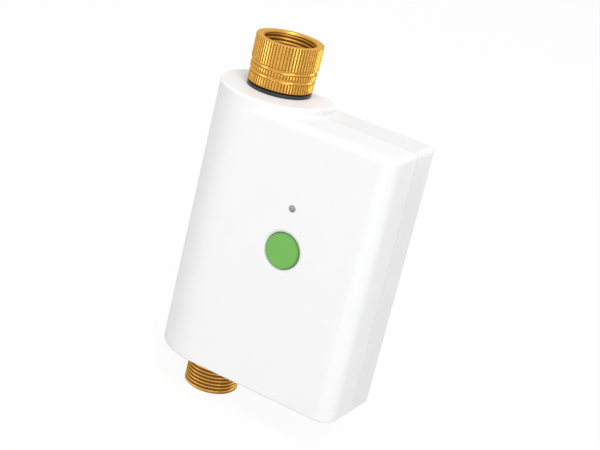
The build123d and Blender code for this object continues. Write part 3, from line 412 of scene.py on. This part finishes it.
def knurled_nut():
    """The swivel nut: straight knurls cut into three bands, and a thread in its mouth. Millimetres."""
    knurl_count = 68
    knurl_depth = 0.24
    crest_half = 1.3  # half the flat crest of a knurl whose whole turn is 2 pi
    thread_depth = 0.44
    upper_r, narrow_r, lower_r = 16.0, 15.7, 15.5
    bore_r, relief_r, neck_r = 12.12, 13.32, 9.65
    rim, bottom = 0.8, -21.4
    relief_top, floor = -10.5, -16.9
    upper_groove, lower_groove = -12.4, -16.6  # their lower edges
    outside_r = 13.5  # every point further out is on the outside
    touch = 0.05  # so much higher, and a point is above the groove's edge
    bore_top = 0.1  # below it, a point inside is in the bore
    bore_shade = 0.65  # painted shade of the whole bore, as a share of the dark tone
    flank_shading = 1.8  # how much faster than its depth a knurl's flank takes painted shade and a rougher finish
    ease = 0.1
    thread_rows = 70

    phase = np.radians([-130, -85, -60, 0, 60, 85, 130, 180])
    angle = ((np.arange(knurl_count)[:, None] * 2 * np.pi + phase) / knurl_count).reshape(1, -1)
    knurl = np.tile(np.clip((np.abs(phase) - crest_half) / (np.pi - crest_half), 0, 1), knurl_count)[None, :]
    lower_band = [(neck_r, -19.0), (neck_r, bottom), (14.6, bottom), (lower_r, -20.8), (lower_r, -16.8)]
    mouth = [(upper_r, -10.2), (upper_r, 0.65), (15.85, rim), (12.92, rim), (bore_r, 0.0), (bore_r, -0.05)]
    relief = [
        (bore_r, -10.45), (bore_r, relief_top), (relief_r, -10.6),
        (relief_r, floor), (neck_r, floor), (neck_r, -18.0),
    ]
    profile = np.concatenate(
        [
            eased(lower_band, ease),
            groove(lower_r, lower_groove, narrow_r, -14.7, 0.9),
            groove(narrow_r, upper_groove, upper_r, -10.3, 1.1),
            eased(mouth, ease),
            straight(bore_r, -0.1, -10.4, thread_rows),
            eased(relief, ease),
        ]
    )
    radius, height = profile[:, :1], profile[:, 1:]
    crest = np.where(height > lower_groove + touch, narrow_r, lower_r)
    crest = np.where(height > upper_groove + touch, upper_r, crest)
    outside = radius > outside_r
    cut = outside & (radius > crest - knurl_depth * knurl)
    threaded = np.abs(radius - bore_r) < 0.01
    radius = np.where(cut, crest - knurl_depth * knurl, radius)
    radius = radius + threaded * thread_depth * thread(height, angle, relief_top, 0.0)
    # painted shade: the whole bore, and the knurls' roots and flanks, are darkened
    bore = np.where(height < bore_top, bore_shade, 0.0)
    hollow_shade = np.where(outside, cut * np.minimum(flank_shading * knurl, 1), bore)
    skin("knurled_nut", turned(radius, height, angle), hollow_shade, "gold_brass", "nut", "swivel_nut")


def threaded_outlet():
    """The outlet: a pipe out of the valve, and a thread cut into its thick lower end. Millimetres."""
    columns = 288
    thread_rows = 120
    ease = 0.12
    thread_depth = 1.1
    crest_r, relief_r, pipe_r, spigot_r, bore_r = 13.2, 11.9, 9.6, 8.6, 7.3
    end, end_face = -177.8, -176.98  # the lower end, and the height below which all is end face
    cut_low = -176.95
    thread_low, thread_top = -177.2, -159.5  # where the thread fades out
    shoulder, step = -158.1, -107.6

    angle = np.arange(columns)[None, :] * 2 * np.pi / columns
    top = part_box("outlet_nipple")[1].z / mm
    lower_end = [(bore_r, -170.0), (bore_r, end), (12.3, end), (crest_r, -177.0), (crest_r, cut_low)]
    pipe = [
        (crest_r, -159.55), (crest_r, thread_top), (relief_r, -159.4), (relief_r, shoulder),
        (pipe_r, shoulder), (pipe_r, step), (spigot_r, step), (spigot_r, top),
        (bore_r, top), (bore_r, top - 4),
    ]
    profile = np.concatenate(
        [eased(lower_end, ease), straight(crest_r, -176.9, -159.6, thread_rows), eased(pipe, ease)]
    )
    radius, height = profile[:, :1], profile[:, 1:]
    threaded = (np.abs(radius - crest_r) < 0.01) & (height > cut_low) & (height < thread_top)
    root = threaded * thread(height, angle, thread_low, thread_top)
    radius = radius - thread_depth * root
    # painted shade: the end face takes the full dark tone, for the dark that it reflects
    hollow_shade = np.where(height < end_face, 1.0, root)
    skin("threaded_outlet", turned(radius, height, angle), hollow_shade, "raw_brass", "casing", "outlet_nipple")


knurled_nut()
threaded_outlet()


def soft_lamp(name, middle, azimuth, elevation, distance, width, height, power):
    """A lamp with a broad face that looks at a point from an azimuth and elevation in degrees."""
    back = compass(np.radians(azimuth), np.radians(elevation))
    right = np.cross([0, 0, 1], back)
    right = right / np.linalg.norm(right)
    lamp = bpy.data.lights.new(name, "AREA")
    lamp.shape = "RECTANGLE"
    lamp.size, lamp.size_y = width, height
    lamp.energy = power
    thing = bpy.data.objects.new(name, lamp)
    stand(thing, middle + distance * back, right, np.cross(back, right), back)
    thing.visible_camera = False


# Name, the point that it looks at, azimuth, elevation, distance, width, height, power
casing_middle = np.array([0.026, -0.005, -0.09])
nut_middle = np.array([0, 0, -0.01])
soft_lamp("key_lamp", casing_middle, 46, 45, 2.6, 0.9, 0.9, 28.8)
soft_lamp("front_lamp", casing_middle, -10, 55, 2.4, 0.9, 0.9, 8.0)
soft_lamp("top_lamp", casing_middle, 25, 76, 2.4, 0.5, 0.5, 10.2)
soft_lamp("edge_lamp", nut_middle, 60, -8, 0.55, 0.13, 0.18, 0.31)
soft_lamp("left_lamp", nut_middle, -44, -8, 0.55, 0.20, 0.18, 0.47)
soft_lamp("rim_lamp", nut_middle, 152, -12, 0.18, 0.055, 0.07, 0.066)


def white_room():
    """Even light from all round. The background itself shows as plain white."""
    even_light = 0.485
    world = bpy.data.worlds.new("white_room")
    bpy.context.scene.world = world
    room = Tree(world)
    shown = room.looked_at() * room.maths("LESS_THAN", room.ray("Diffuse Depth"), 0.5)
    strength = even_light + (1 - even_light) * shown
    room.feed(room.nodes["Background"], {"Color": (1, 1, 1, 1), "Strength": strength})


def pale_floor():
    """A round pale floor under the outlet. What the camera sees of it is mostly its own white, with
    the object's soft shadow in the rest."""
    floor_grey = 0.6
    own_white = 0.93
    radius = 3
    sides = 96
    gap = 0.0002
    height = cad_box[0][2] - gap
    material = bpy.data.materials.new("pale_floor")
    floor = Tree(material)
    seen = floor.looked_at()
    plain = floor.node("BsdfDiffuse", {}, {"Color": floor_grey + (1 - floor_grey) * seen})
    white = floor.node("Emission", {}, {"Color": (1, 1, 1, 1), "Strength": 1.0})
    mixed = floor.node("MixShader", {}, {0: own_white * seen, 1: plain, 2: white})
    floor.feed(floor.nodes["Material Output"], {"Surface": mixed})
    angle = np.arange(sides) * 2 * np.pi / sides
    rim = np.column_stack([radius * np.cos(angle), radius * np.sin(angle), np.full(sides, height)])
    mesh = bpy.data.meshes.new("floor")
    mesh.from_pydata(rim.tolist(), [], [list(range(sides))])
    mesh.materials.append(material)
    thing = bpy.data.objects.new("floor", mesh)
    bpy.context.collection.objects.link(thing)


white_room()
pale_floor()
bpy.context.scene.view_settings.view_transform = "Standard"
